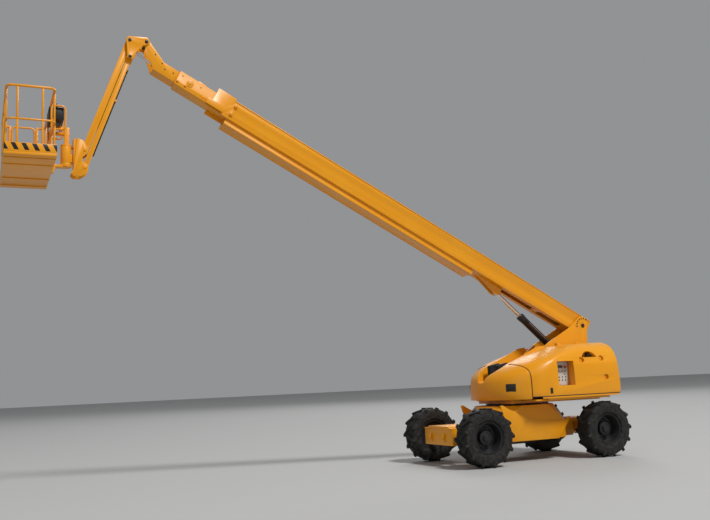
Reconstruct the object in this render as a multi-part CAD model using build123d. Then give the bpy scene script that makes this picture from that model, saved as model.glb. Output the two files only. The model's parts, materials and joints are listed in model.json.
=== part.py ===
# Telescopic boom lift with a slewing turret, a three-section boom, a parallelogram jib
# and a work platform. Millimetres. The origin is on the ground under the slew axis,
# +X points to the steered end, +Y to the machine's left side, +Z up.
import os
from math import atan2, cos, degrees, hypot, pi, radians, sin, sqrt, tan

from build123d import *

# Wheels and axles
wheel_base = 2800
wheel_track = 2065
tyre_radius = 550
tyre_width = 400
lug_height = 28
lug_thickness = 56
lug_pairs = 13
lug_skew = 38
wheel_sides = 24
rim_radius = 286
rim_flange = 18
rim_lip = 10
rim_lip_y = 142
rim_wall = 12
rim_disc_y = -57
king_pin_y = 800
axle_tube_radius = 72
axle_bowl_radius = 132
spindle_radius = 58
hub_radius = 130
hub_length = 110
spindle_depth = 60
king_pin_radius = 24
fork_half_height = 112
fork_ear = 34
tie_rod_radius = 18
steering_arm_length = 170
running_gap = 3
pin_gap = 0.3

# Chassis
chassis_top = 760
chassis_bottom = 420
deck_half_length = 700
deck_half_width = 730
side_plate = 20
arm_half_width = 400
bumper_half_width = 540
bumper_depth = 150
bumper_low = 400
bumper_high = 716
tow_eye_y = 250
tow_eye_radius = 66
tow_eye_plate = 26
transfer_box_half_length = 330
transfer_box_half_width = 210
transfer_box_z = (315, 520)
shaft_z = 436
shaft_radius = 30
flange_radius = 40
chassis_half_length = 1800
chassis_roof = 70
spine_wall = 60
deck_wall = 40
axle_slot_half_length = 260
ring_radius = 560
pedestal_top_radius = 790
pedestal_bottom_radius = 1000
pedestal_top = 1085
ring_height = 36
ring_wall = 90

# Turret
turret_floor = 1124
floor_plate = 70
hood_bottom = 1204
hood_half_width = 1150
hood_skin = 12
hood_gap = 8
sill_height = 34
sill_width = 40
trough_half_width = 330
turret_tail = -1800
seam_x = 250
seam_bow = 110
spine_half_width = 400
trough_floor = 1650
trough_front = 200
rest_front = 450
rest_top = 1945
door_pin_z = 2290
dish_sides = 20
window_x = (-712, -318)
window_z = (1440, 1912)
window_depth_y = 950
tower_plate = 25
tower_inner_y = 222
pivot_x = -1740
pivot_z = 2670
pivot_pin_radius = 40
tower_head_radius = 190
counterweight_front = -1330
counterweight_half_width = 560
counterweight_top = 1840

# Boom
rest_elevation = 28.3
lowest_elevation = -12
base_length = 8660
base_half_width = 200
base_top = 186
base_bottom = -186
base_wall = 10
head_cap = 370
channel_start = 2840
channel_half_width = 165
channel_depth = 110
mid_half_width = 165
mid_top = 152
mid_bottom = -125
mid_head = 9770
mid_tail = 1000
fly_half_width = 134
fly_top = 126
fly_bottom = -100
fly_head = 10210
fly_tail = 1260
section_wall = 8
pad_length = 140

# Lift cylinder
eye_s = 2090
eye_t = -300
lift_axis_angle = 41.4
lift_length = 2550
lift_barrel_radius = 74
lift_rod_radius = 42
lift_rod_showing = 741
lift_pin_radius = 35
lift_bore_start = 110
lift_rod_start = 800
lug_half_gap = 52
lug_plate = 20

# Knuckle and jib, at rest
knuckle_s = 10540
knuckle_t = 281
knuckle_plate = 18
knuckle_inner_y = 148
jib_length = 2205
jib_rest_angle = -69.8
jib_pin_spacing = 310
jib_arm_depth = 110
jib_link_depth = 84
jib_half_width = 100
jib_wall = 10
jib_web_start = 200
jib_pin_radius = 26
jib_barrel_radius = 34
jib_rod_radius = 25
jib_pin_dx = 295
jib_pin_dz = -1
slave_pin_dx = 164
slave_pin_dz = -166

# Platform
column_x = 8600
rotator_x = 8765
rotator_radius = 90
platform_front = 9780
platform_back = 9000
platform_half_length = 1150
platform_floor = 5450
rail_height = 1080
rail_radius = 20
toe_height = 150
gate_start_x = 9170
gate_width = 460
gate_gap = 6
tube_sides = 8
rail_bend = 105
panel_x = platform_back + 4
console_half_width = 260
console_guard_y = 290

os.makedirs("parts", exist_ok=True)


def save(shape, name):
    export_step(shape, "parts/" + name + ".step")


def block(x0, x1, y0, y1, z0, z1):
    """A box between two corners."""
    return Pos((x0 + x1) / 2, (y0 + y1) / 2, (z0 + z1) / 2) * Box(x1 - x0, y1 - y0, z1 - z0)


def rod_y(x, z, radius, y0, y1):
    """A round bar along Y between two faces."""
    return Pos(x, (y0 + y1) / 2, z) * Rot(90, 0, 0) * Cylinder(radius, y1 - y0)


def prism_y(x, z, radius, y0, y1):
    """A bar along Y between two faces, with flats in place of its round side."""
    face = Plane(origin=(x, y0, z), x_dir=(1, 0, 0), z_dir=(0, 1, 0)) * RegularPolygon(radius, dish_sides)
    return extrude(face, y1 - y0, dir=(0, 1, 0))


def plate_xz(points, y0, y1):
    """A flat plate from an outline in X and Z, between two values of Y."""
    face = make_face(Polyline(*[(x, 0, z) for x, z in points], close=True))
    return Pos(0, y0, 0) * extrude(face, y1 - y0, dir=(0, 1, 0))


def round_plate_xz(points, radius, y0, y1):
    """As plate_xz, with every corner rounded."""
    solid = plate_xz(points, y0, y1)
    return fillet(solid.edges().filter_by(Axis.Y), radius)


def both_sides(shape):
    """The shape and its mirror image on the other side of the machine."""
    return [shape, mirror(shape, about=Plane.XZ)]


def at_boom(shape):
    """From boom coordinates (along, across, normal) to the machine's frame at rest."""
    return Location((pivot_x, 0, pivot_z), (0, -rest_elevation, 0)) * shape


def boom_point(s, t, elevation=rest_elevation):
    """Where a point of the boom is in X and Z."""
    angle = radians(elevation)
    x = pivot_x + s * cos(angle) - t * sin(angle)
    z = pivot_z + s * sin(angle) + t * cos(angle)
    return x, z


def wear_pads(s0, outer, inner, seat):
    """Four sliding pads between two boom sections; outer and inner are (half width, bottom, top)."""
    s1 = s0 + pad_length
    width = inner[0] * 0.6
    low, high = (outer[1], inner[1]), (inner[2], outer[2])
    pads = [block(s0, s1, -width, width, low[0] + seat[0], low[1] - seat[1]),
            block(s0, s1, -width, width, high[0] + seat[1], high[1] - seat[0])]
    pads += both_sides(block(s0, s1, inner[0] + seat[1], outer[0] - seat[0], inner[1] * 0.6, inner[2] * 0.6))
    return pads


def box_tube(s0, s1, half_width, bottom, top, wall):
    """A rectangular boom section, open at both ends."""
    outer = block(s0, s1, -half_width, half_width, bottom, top)
    inner = block(s0 - 1, s1 + 1, wall - half_width, half_width - wall, bottom + wall, top - wall)
    return outer - inner


# Wheels

def wheel_form(sections):
    """A ruled loft about Y through regular polygons: (y, corner radius)."""
    faces = [Plane(origin=(0, y, 0), x_dir=(1, 0, 0), z_dir=(0, 1, 0)) * RegularPolygon(radius, wheel_sides)
             for y, radius in sections]
    return loft(faces, ruled=True)


def tyre():
    """A square-shouldered lugged tyre about its own centre, with the lugs' points leading to its middle."""
    half = tyre_width / 2
    tread_radius = tyre_radius - lug_height
    profile = [(0.92, rim_radius + 40), (1.0, rim_radius + 140),
               (0.94, tread_radius - 24), (0.72, tread_radius)]
    near = [(share * half, radius) for share, radius in profile]
    carcass = wheel_form([(-y, radius) for y, radius in near] + near[::-1])
    for sign in (1, -1):
        flange_seat = (sign * rim_lip_y, rim_radius + rim_flange + running_gap)
        carcass -= wheel_form([flange_seat, (sign * near[0][0], near[0][1])])
    carcass -= wheel_form([(-half, rim_radius), (half, rim_radius)])
    lug_length = half * 1.18
    root = lug_height + 36
    reach = (lug_length * sin(radians(lug_skew)) + lug_thickness * cos(radians(lug_skew))) / 2
    lug_top = sqrt(tyre_radius ** 2 - reach ** 2)
    lug = Pos(0, half - lug_length * 0.42, lug_top - root / 2)
    lug = lug * Rot(0, 0, lug_skew) * Box(lug_thickness, lug_length, root)
    lug &= block(-tyre_radius, tyre_radius, -half, half, 0, tyre_radius)
    pitch = 360 / lug_pairs
    lugs = []
    for i in range(lug_pairs):
        lugs.append(Rot(0, i * pitch, 0) * lug)
        lugs.append(Rot(0, (i + 0.5) * pitch, 0) * mirror(lug, about=Plane.XZ))
    return carcass + lugs


def rim():
    """A deep-dished rim with its disc near the inner side, and the hub with the spindle's bore."""
    edge = rim_lip_y + rim_lip
    solid = wheel_form([(-edge, rim_radius), (edge, rim_radius)])
    for sign in (1, -1):
        flange = rim_radius + rim_flange
        solid += wheel_form([(sign * rim_lip_y, flange), (sign * edge, flange)])
    solid -= wheel_form([(rim_disc_y + rim_wall, rim_radius - 36), (edge + 1, rim_radius - rim_wall)])
    solid -= wheel_form([(-edge - 1, rim_radius - rim_wall), (rim_disc_y - rim_wall, rim_radius - 52)])
    solid += rod_y(0, 0, hub_radius, rim_disc_y - 2 * rim_wall, rim_disc_y + hub_length)
    solid += rod_y(0, 0, 70, rim_disc_y, rim_disc_y + hub_length + 30)
    return solid - rod_y(0, 0, spindle_radius + pin_gap, -edge, rim_disc_y - 2 * rim_wall + spindle_depth)


def wheels():
    """Four wheels; the right-hand ones are turned round so that every dish faces out."""
    tyre_shape = tyre()
    rim_shape = rim()
    for end, x in (("front", wheel_base / 2), ("rear", -wheel_base / 2)):
        for side, sign in (("left", 1), ("right", -1)):
            place = Pos(x, sign * wheel_track / 2, tyre_radius)
            turn = Rot(0, 0, 0) if sign > 0 else Rot(0, 0, 180)
            save(place * turn * tyre_shape, "tyre_" + end + "_" + side)
            save(place * turn * rim_shape, "rim_" + end + "_" + side)


# Axles

spindle_end_y = wheel_track / 2 + rim_disc_y - 2 * rim_wall + spindle_depth - running_gap


def axle_beam(x):
    """A tube with the final drive's bowl in the middle."""
    tube = rod_y(x, tyre_radius, axle_tube_radius, -king_pin_y + 70, king_pin_y - 70)
    bowl = rod_y(x, tyre_radius, axle_bowl_radius, -70, 70)
    bowl = chamfer(bowl.edges(), 30)
    pads = block(x - 60, x + 60, -300, 300, tyre_radius + 40, chassis_top - chassis_roof)
    return tube + bowl + pads


def front_axle():
    """The steered axle, with a fork at each end for the king pins."""
    x = wheel_base / 2
    top = fork_half_height + fork_ear
    solid = axle_beam(x)
    for sign in (1, -1):
        y = sign * king_pin_y
        inner = y - sign * 110
        web = y - sign * 72
        solid += block(x - 60, x + 60, min(inner, web), max(inner, web), tyre_radius - top, tyre_radius + top)
        for z in (tyre_radius - top, tyre_radius + fork_half_height):
            ear = Pos(x, y, z + fork_ear / 2) * Cylinder(56, fork_ear)
            arm = block(x - 56, x + 56, min(y, web), max(y, web), z, z + fork_ear)
            solid += ear + arm
        solid -= Pos(x, y, tyre_radius) * Cylinder(king_pin_radius + pin_gap, 2 * top + 2)
    return solid


def knuckle(sign):
    """The steering knuckle between the fork's ears, with its king pin, spindle and arm."""
    x = wheel_base / 2
    y = sign * king_pin_y
    end = sign * spindle_end_y
    post = Pos(x, y, tyre_radius) * Cylinder(54, 2 * (fork_half_height - running_gap))
    pin = Pos(x, y, tyre_radius) * Cylinder(king_pin_radius, 2 * (fork_half_height + fork_ear))
    spindle = rod_y(x, tyre_radius, spindle_radius, min(y, end), max(y, end))
    arm = block(x - steering_arm_length, x, min(y, y + sign * 30), max(y, y + sign * 30),
                tyre_radius - 100, tyre_radius - 72)
    eye = Pos(x - steering_arm_length, y, tyre_radius - 86) * Cylinder(34, 28)
    return post + pin + spindle + arm + eye


def tie_rod():
    """The track rod behind the steered axle, on top of the two arms."""
    x = wheel_base / 2 - steering_arm_length
    z = tyre_radius - 72 + pin_gap
    bar = rod_y(x, z + 24, tie_rod_radius, -king_pin_y, king_pin_y)
    ends = [Pos(x, sign * king_pin_y, z + 24) * Cylinder(28, 48) for sign in (1, -1)]
    return bar + ends


def rear_axle():
    """The fixed axle, with a spindle at each end."""
    x = -wheel_base / 2
    solid = axle_beam(x)
    for sign in (1, -1):
        housing = sign * (king_pin_y - 120)
        flange = sign * king_pin_y
        end = sign * spindle_end_y
        solid += rod_y(x, tyre_radius, 100, min(housing, flange), max(housing, flange))
        solid += rod_y(x, tyre_radius, spindle_radius, min(flange, end), max(flange, end))
    return solid


# Chassis

def side_plate_outline():
    """The chassis side plate in X and Z: high at the steered end, with a hollow top edge."""
    return make_face([
        Line((-520, 0, 405), (590, 0, 405)),
        Line((590, 0, 405), (620, 0, 520)),
        Line((620, 0, 520), (815, 0, 1105)),
        Line((815, 0, 1105), (760, 0, 1110)),
        ThreePointArc((760, 0, 1110), (60, 0, 815), (-720, 0, 765)),
        Line((-720, 0, 765), (-800, 0, 815)),
        Line((-800, 0, 815), (-830, 0, 790)),
        Line((-830, 0, 790), (-520, 0, 405)),
    ])


def chassis_frame():
    """The welded chassis, open below, with its bumpers and the pedestal for the slew ring."""
    roof = chassis_top - chassis_roof
    solid = block(-deck_half_length, deck_half_length, -deck_half_width, deck_half_width,
                  chassis_bottom, chassis_top)
    solid += block(-chassis_half_length, chassis_half_length, -arm_half_width, arm_half_width,
                   chassis_bottom, chassis_top)
    inner = deck_half_width - deck_wall
    solid -= block(deck_wall - deck_half_length, deck_half_length - deck_wall, -inner, inner, 0, roof)
    inner = arm_half_width - spine_wall
    spine_end = chassis_half_length - bumper_depth
    solid -= block(-spine_end, spine_end, -inner, inner, 0, roof)
    for sign in (1, -1):
        x = sign * wheel_base / 2
        solid -= block(x - axle_slot_half_length, x + axle_slot_half_length, -arm_half_width - 1,
                       arm_half_width + 1, chassis_bottom - 1, roof)
    cone = Pos(0, 0, (chassis_top + pedestal_top) / 2) * Cone(
        pedestal_bottom_radius, pedestal_top_radius, pedestal_top - chassis_top)
    solid += cone & block(-1200, 1200, -deck_half_width, deck_half_width, chassis_top, pedestal_top)
    for sign in (1, -1):
        solid += bumper(sign)
    plate = extrude(side_plate_outline(), side_plate, dir=(0, 1, 0))
    plate = Pos(0, deck_half_width, 0) * plate
    solid += both_sides(plate)
    return solid


def bumper(sign):
    """The cross box at one end of the chassis, with its cover plate and two D-shaped towing eyes."""
    end = sign * chassis_half_length
    back = sign * (chassis_half_length - bumper_depth)
    lip = end + sign * 14
    half = bumper_half_width
    solid = block(min(end, back), max(end, back), -half, half, bumper_low, bumper_high)
    solid += block(min(lip, back), max(lip, back), -half, half, bumper_high, bumper_high + 14)
    eye_z = (bumper_low + bumper_high) / 2
    for y in (-tow_eye_y, tow_eye_y):
        ring = rod_y(0, 0, tow_eye_radius, -tow_eye_plate / 2, tow_eye_plate / 2)
        ring -= rod_y(0, 0, tow_eye_radius - tow_eye_plate, -tow_eye_plate, tow_eye_plate)
        ring &= block(0, 200, -100, 100, -200, 200)
        tail = block(-1, tow_eye_plate, -tow_eye_plate / 2, tow_eye_plate / 2,
                     -tow_eye_radius - 30, tow_eye_radius)
        place = Pos(end, y, eye_z) * Rot(0, 0, 0 if sign > 0 else 180)
        solid += [place * ring, place * tail]
    return solid


def transmission():
    """The drive's transfer box under the deck, with a propeller shaft to each axle."""
    low, high = transfer_box_z
    half = transfer_box_half_width
    solid = block(-transfer_box_half_length, transfer_box_half_length, -half, half, low, high)
    solid += block(-60, 60, -60, 60, high, chassis_top - chassis_roof - pin_gap)
    bowl_reach = sqrt(axle_bowl_radius ** 2 - (tyre_radius - shaft_z - flange_radius) ** 2)
    for sign in (1, -1):
        inner = sign * transfer_box_half_length
        outer = sign * (wheel_base / 2 - bowl_reach - pin_gap)
        solid += bar_x(min(inner, outer), max(inner, outer), shaft_radius, z=shaft_z)
        flange = outer - sign * 26
        solid += bar_x(min(flange, outer), max(flange, outer), flange_radius, z=shaft_z)
    return solid


def slew_ring():
    """The fixed half of the slewing bearing."""
    ring = Pos(0, 0, pedestal_top + ring_height / 2) * Cylinder(ring_radius, ring_height)
    return ring - Pos(0, 0, pedestal_top + ring_height / 2) * Cylinder(ring_radius - ring_wall, ring_height + 2)


# Turret

def tower_outline():
    """The boom's upright in X and Z, round the pivot."""
    return make_face([
        Line((-1830, 0, turret_floor + floor_plate), (-400, 0, turret_floor + floor_plate)),
        Line((-400, 0, turret_floor + floor_plate), (-520, 0, 2130)),
        Line((-520, 0, 2130), (-800, 0, 2320)),
        Line((-800, 0, 2320), (-1400, 0, 2640)),
        Line((-1400, 0, 2640), (pivot_x + 105, 0, pivot_z + 160)),
        ThreePointArc((pivot_x + 105, 0, pivot_z + 160), (pivot_x - 20, 0, pivot_z + tower_head_radius),
                      (pivot_x - 110, 0, pivot_z + 60)),
        Line((pivot_x - 110, 0, pivot_z + 60), (-1830, 0, 2300)),
        Line((-1830, 0, 2300), (-1830, 0, turret_floor + floor_plate)),
    ])


def lift_foot():
    """The lift cylinder's lower pin in X and Z."""
    x, z = boom_point(eye_s, eye_t)
    angle = radians(lift_axis_angle)
    return x - lift_length * cos(angle), z - lift_length * sin(angle)


def turret_frame():
    """Floor, boom uprights, cross plates, sills under the doors and the lift cylinder's foot brackets."""
    floor_top = turret_floor + floor_plate
    floor = block(-1740, 450, -600, 600, turret_floor, floor_top)
    outriggers = [block(-1600, 200, min(sign * 590, sign * 1080), max(sign * 590, sign * 1080),
                        floor_top - 30, floor_top) for sign in (1, -1)]
    uprights = Pos(0, tower_inner_y, 0) * extrude(tower_outline(), tower_plate, dir=(0, 1, 0))
    solid = floor + outriggers + both_sides(uprights)
    solid += block(-1830, -1805, -tower_inner_y, tower_inner_y, floor_top, 2200)
    solid += block(-520, -495, -tower_inner_y, tower_inner_y, floor_top, 1640)
    foot_x, foot_z = lift_foot()
    ear = round_plate_xz([(foot_x - 90, floor_top), (foot_x + 90, floor_top), (foot_x + 60, foot_z + 60),
                          (foot_x - 60, foot_z + 60)], 20, 90, 115)
    solid += both_sides(ear)
    solid += both_sides(rod_y(foot_x, foot_z, 60, 115, tower_inner_y))
    race_radius = ring_radius - ring_wall - pin_gap
    race_low = pedestal_top + ring_height / 3
    solid += Pos(0, 0, (race_low + turret_floor) / 2) * Cylinder(race_radius, turret_floor - race_low)
    sill = block(-1780, seam_x - hood_gap, hood_half_width - sill_width, hood_half_width, hood_bottom,
                 hood_bottom + sill_height)
    sill &= hood_form()
    sill += block(-1500, -60, 1060, hood_half_width - sill_width + 1, floor_top - 30, hood_bottom + 20)
    solid += both_sides(sill)
    solid -= rod_y(foot_x, foot_z, lift_pin_radius + pin_gap / 6, -400, 400)
    return solid - rod_y(pivot_x, pivot_z, pivot_pin_radius + pin_gap / 6, -400, 400)


def counterweight():
    """The cast weight between the hoods at the boom pivot's end."""
    floor_top = turret_floor + floor_plate
    half = counterweight_half_width
    solid = block(turret_tail - 30, counterweight_front, -half, half, floor_top, counterweight_top)
    slot = tower_inner_y + tower_plate
    solid -= block(-3000, 0, -slot - 1, slot + 1, 0, 4000)
    return solid


# Level sections of the hood: height, tail, half width, nose and the length of the nose's ellipse
hood_sections = [
    (hood_bottom, -1798, hood_half_width, 770, 960),
    (1340, -1832, hood_half_width, 785, 975),
    (1560, -1826, 1148, 760, 940),
    (1700, -1820, 1144, 680, 850),
    (1850, -1815, 1132, 470, 700),
    (1950, -1812, 1108, 250, 560),
    (2060, -1808, 1062, -60, 480),
    (2160, -1800, 985, -380, 420),
    (2230, -1790, 880, -620, 380),
    (2275, -1780, 740, -1100, 250),
]


def with_midpoints(rows):
    """The table's rows with a cubic midpoint between each two that have a neighbour on either side."""
    finer = []
    for i, row in enumerate(rows):
        finer.append(row)
        if 0 < i < len(rows) - 2:
            near = zip(rows[i - 1], row, rows[i + 1], rows[i + 2])
            finer.append(tuple((9 * (b + c) - a - d) / 16 for a, b, c, d in near))
    return finer


def hood_form():
    """The hood's outer form as one solid, lofted through its level sections."""
    outlines = []
    for height, tail, half, nose, run in with_midpoints(hood_sections):
        shoulder = nose - run
        outlines.append(Pos(0, 0, height) * make_face([
            Line((tail, -half), (tail, half)),
            Line((tail, half), (shoulder, half)),
            EllipticalCenterArc((shoulder, 0), run, half, 0, arc_size=90),
            EllipticalCenterArc((shoulder, 0), run, half, -90, arc_size=90),
            Line((shoulder, -half), (tail, -half)),
        ]))
    return loft(outlines, ruled=True)


def hood_cavity():
    """The space under the doors: three flat-sided prisms that stay inside the outer form."""
    tail = turret_tail + hood_skin + 18
    along = plate_xz([(tail, 0), (seam_x + 200, 0), (seam_x, 1500), (0, 1700), (-160, 1850), (-240, 1950),
                      (-410, 2045), (-570, 2125), (-820, 2205), (tail, 2205)], -1200, 1200)
    across = make_face(Polyline((0, 1136, 0), (0, 1134, 1500), (0, 1095, 1850), (0, 1030, 2045), (0, 850, 2205),
                                (0, -850, 2205), (0, -1030, 2045), (0, -1095, 1850), (0, -1134, 1500),
                                (0, -1136, 0), close=True))
    across = extrude(across, 3000, dir=(1, 0, 0), both=True)
    plan = make_face(Polyline((tail, 1136), (-60, 1136), (seam_x, 1000), (seam_x, -1000), (-60, -1136),
                              (tail, -1136), close=True))
    return along & across & extrude(plan, 3000, dir=(0, 0, 1))


def nose_zone():
    """What lies ahead of the seam: it runs straight up and then bows forward over the shoulder."""
    zone = make_face([
        Line((seam_x, 0, 0), (seam_x, 0, 1750)),
        ThreePointArc((seam_x, 0, 1750), (seam_x + seam_bow * 0.3, 0, 1850), (seam_x + seam_bow, 0, 1930)),
        Line((seam_x + seam_bow, 0, 1930), (2000, 0, 1930)),
        Line((2000, 0, 1930), (2000, 0, 0)),
        Line((2000, 0, 0), (seam_x, 0, 0)),
    ])
    side = Pos(0, spine_half_width, 0) * extrude(zone, 1000, dir=(0, 1, 0))
    return side + block(seam_x, 2000, -1, spine_half_width, 0, 3000)


def recess(x, z, radius, depth, form):
    """A round dish in the door's skin: the cup to add and the hole to cut."""
    floor = hood_half_width - depth
    cup = prism_y(x, z, radius + 8, floor - 8, hood_half_width) & form
    hole = prism_y(x, z, radius, floor, hood_half_width + 1)
    return cup, hole


def door_openings(door, form):
    """The arched vent near the top and the three round dishes behind the window."""
    for x, z, radius, depth in ((-935, 1920, 62, 85), (-1428, 1940, 62, 85), (-1496, 1564, 58, 50)):
        cup, hole = recess(x, z, radius, depth, form)
        door = door + cup - hole
    arch_x, arch_z, arch_radius, low, back = -1145, 1885, 210, 1975, 930
    pocket = prism_y(arch_x, arch_z, arch_radius, back, hood_half_width)
    pocket &= block(-2000, 0, back, 1300, low, 3000)
    liner = prism_y(arch_x, arch_z, arch_radius + 10, back - 10, hood_half_width)
    liner &= block(-2000, 0, back - 10, 1300, low - 10, 3000)
    return door + (liner & form) - pocket


def hoods():
    """Nose covers, side doors split off at the seam, and the fixed spine with the trough's walls."""
    form = hood_form()
    floor_top = turret_floor + floor_plate
    spine = spine_half_width
    half = trough_half_width
    trough = block(-3000, trough_front, -half, half, trough_floor, 4000)
    tail_opening = counterweight_half_width + hood_gap
    opening = block(turret_tail - 100, counterweight_front + hood_gap, -tail_opening, tail_opening,
                    hood_bottom - 1, counterweight_top + hood_gap)
    left = form & block(-3000, 2000, 0, 2000, 0, 4000)
    ahead = nose_zone()
    gap_zone = Pos(-hood_gap, 0, 0) * ahead
    groove = plate_xz([(900, 1530), (seam_x, 1640), (seam_x, 2600), (900, 2600)], 0, half)
    plan = make_face(Polyline((900, 0), (900, 40), (760, 90), (600, 250), (rest_front, half), (0, half), (0, 0),
                              close=True))
    groove &= extrude(plan, 3000, dir=(0, 0, 1))
    well = block(0, rest_front, -1, half, trough_floor - 60, 4000)
    nose = (left & ahead) - groove - well - block(0, rest_front, 0, 750, 0, 1500)
    nose += block(300, rest_front, 300, 590, floor_top, hood_bottom + 1)
    shell = left - hood_cavity() - trough - opening - gap_zone
    door = shell & block(-3000, 2000, spine + running_gap, 2000, hood_bottom + sill_height + hood_gap, 4000)
    fixed = (left & block(-3000, seam_x, half, spine, 0, 4000)) - hood_cavity() - opening
    fixed += left & block(counterweight_front + hood_gap, seam_x, half, half + hood_skin, 0, 3000)
    fixed += block(counterweight_front + hood_gap, seam_x, half, half + hood_skin, floor_top, hood_bottom + 1)
    lip = plate_xz([(trough_front, 1900), (trough_front, 1955), (-129, 2095), (-444, 2243), (-620, 2262),
                    (-620, 2150), (-300, 2060)], half, half + hood_skin)
    fixed += lip
    for x in (-1450, -950):
        ears = [block(x + dx, x + dx + 10, spine - 50, spine + 12, door_pin_z - 60, door_pin_z + 12)
                for dx in (-60, 50)]
        slots = [block(x + dx - 2, x + dx + 12, spine - 50, spine + 16, door_pin_z - 62, door_pin_z + 14)
                 for dx in (-60, 50)]
        fixed = fixed - block(x - 48, x + 48, spine - 18, spine + 1, door_pin_z - 18, door_pin_z + 20)
        fixed += ears + [bar_x(x - 60, x + 60, 6, y=spine, z=door_pin_z)]
        barrel = bar_x(x - 45, x + 45, 12, y=spine, z=door_pin_z)
        strap = block(x - 45, x + 45, spine + running_gap, spine + 26, door_pin_z - 50, door_pin_z - 4)
        door = door - slots + barrel + strap - bar_x(x - 60, x + 60, 6 + pin_gap, y=spine, z=door_pin_z)
    window = block(window_x[0], window_x[1], window_depth_y, 1300, window_z[0], window_z[1])
    frame = block(window_x[0] - 8, window_x[1] + 8, window_depth_y, hood_half_width - 20, window_z[0] - 8,
                  window_z[1] + 8)
    door = door_openings(door, left)
    save(nose, "nose_cover_left")
    save(mirror(nose, about=Plane.XZ), "nose_cover_right")
    save(door + frame - window, "hood_left")
    save(mirror(door, about=Plane.XZ), "hood_right")
    floor = block(-390, trough_front, -half, half, trough_floor - hood_skin, trough_floor)
    fixed_pair = both_sides(fixed)
    save(fixed_pair[0] + fixed_pair[1] + floor, "trough_walls")


def ground_controls():
    """The lower control station behind the left door's window."""
    x0, x1 = window_x
    z0, z1 = window_z
    front = window_depth_y - running_gap
    box = block(x0 + 4, x1 - 4, front - 70, front, z0 + 4, z1 - 4)
    bracket = block(x0 + 100, x1 - 100, 560, front - 69, turret_floor + floor_plate, z0 + 80)
    return box + bracket


def engine():
    """The engine as one plain block on the right of the floor."""
    return block(-1150, -350, -1050, -560, turret_floor + floor_plate, 1900)


def boom_rest():
    """Two rubber pads on a cross plate, one each side of the lift cylinder's lugs."""
    x0, x1 = trough_front + 10, rest_front - 10
    drop = (x1 - x0) * tan(radians(-lowest_elevation))
    low = trough_floor - 60 + 20
    pad = plate_xz([(x0, low), (x1, low), (x1, rest_top - drop), (x0, rest_top)], 95, 200)
    plate = block(x0, x1, -260, 260, trough_floor - 60, low)
    return plate + both_sides(pad)


# Lift cylinder

def along_lift(shape):
    """From the cylinder's own axis, foot at the origin and X along it, to its place at rest."""
    foot_x, foot_z = lift_foot()
    return Location((foot_x, 0, foot_z), (0, -lift_axis_angle, 0)) * shape


def bar_x(x0, x1, radius, y=0, z=0):
    """A round bar along X."""
    return Pos((x0 + x1) / 2, y, z) * Rot(0, 90, 0) * Cylinder(radius, x1 - x0)


def lift_barrel():
    """The barrel with its foot eye and gland."""
    end = lift_length - lift_rod_showing
    barrel = bar_x(60, end, lift_barrel_radius) + bar_x(end - 90, end, lift_barrel_radius + 8)
    eye = rod_y(0, 0, 75, -82, 82)
    bore = bar_x(lift_bore_start, end + 1, lift_rod_radius + 0.5)
    pin = rod_y(0, 0, lift_pin_radius + pin_gap / 6, -83, 83)
    return along_lift(barrel + eye - bore - pin)


def lift_foot_pin():
    """The pin through the barrel's eye and both foot brackets."""
    return along_lift(rod_y(0, 0, lift_pin_radius, -tower_inner_y, tower_inner_y))


def lift_rod():
    """The chromed rod and its eye."""
    rod = bar_x(lift_rod_start, lift_length - 30, lift_rod_radius)
    eye = rod_y(lift_length, 0, 40, -46, 46)
    neck = bar_x(lift_length - 110, lift_length - 30, 38)
    return along_lift(rod + eye + neck)


# Boom

base_bore = (base_half_width - base_wall, base_bottom + base_wall, base_top - base_wall)
mid_outside = (mid_half_width, mid_bottom, mid_top)
mid_bore = (mid_half_width - section_wall, mid_bottom + section_wall, mid_top - section_wall)
fly_outside = (fly_half_width, fly_bottom, fly_top)


def base_boom():
    """The base section with its lower channel, lift lugs, head collar and pivot boss."""
    tube = box_tube(-180, base_length, base_half_width, base_bottom, base_top, base_wall)
    lip = block(-180, base_length, -base_half_width - 8, base_half_width + 8, base_top, base_top + 14)
    channel = block(channel_start, base_length, -channel_half_width, channel_half_width,
                    base_bottom - channel_depth, base_bottom)
    channel -= block(channel_start - 1, base_length + 1, 12 - channel_half_width, channel_half_width - 12,
                     base_bottom - channel_depth + 12, base_bottom + 1)
    end_plate = block(-180, -168, -base_half_width, base_half_width, base_bottom, base_top)
    solid = tube + lip + channel + end_plate
    solid += [block(channel_start, base_length, min(y, y + sign * 14), max(y, y + sign * 14),
                    base_bottom - channel_depth - 6, base_bottom - channel_depth + 26)
              for sign, y in ((1, channel_half_width), (-1, -channel_half_width))]
    lug = plate_xz([(channel_start - 140, base_bottom), (eye_s + 80, eye_t - 52), (eye_s - 20, eye_t - 50),
                    (eye_s - 60, eye_t), (eye_s - 66, base_bottom)], lug_half_gap, lug_half_gap + lug_plate)
    solid += both_sides(lug)
    for s0, s1, half in ((400, 2010, lift_barrel_radius + 22), (1900, eye_s + 330, lug_half_gap - 1)):
        solid -= block(s0, s1, -half, half, base_bottom - 1, base_bottom + base_wall + 1)
    solid += boom_collar()
    solid += wear_pads(base_length - pad_length, base_bore, mid_outside, (0, pin_gap))
    solid -= rod_y(0, 0, pivot_pin_radius + pin_gap / 6, -400, 400)
    return at_boom(solid)


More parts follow.
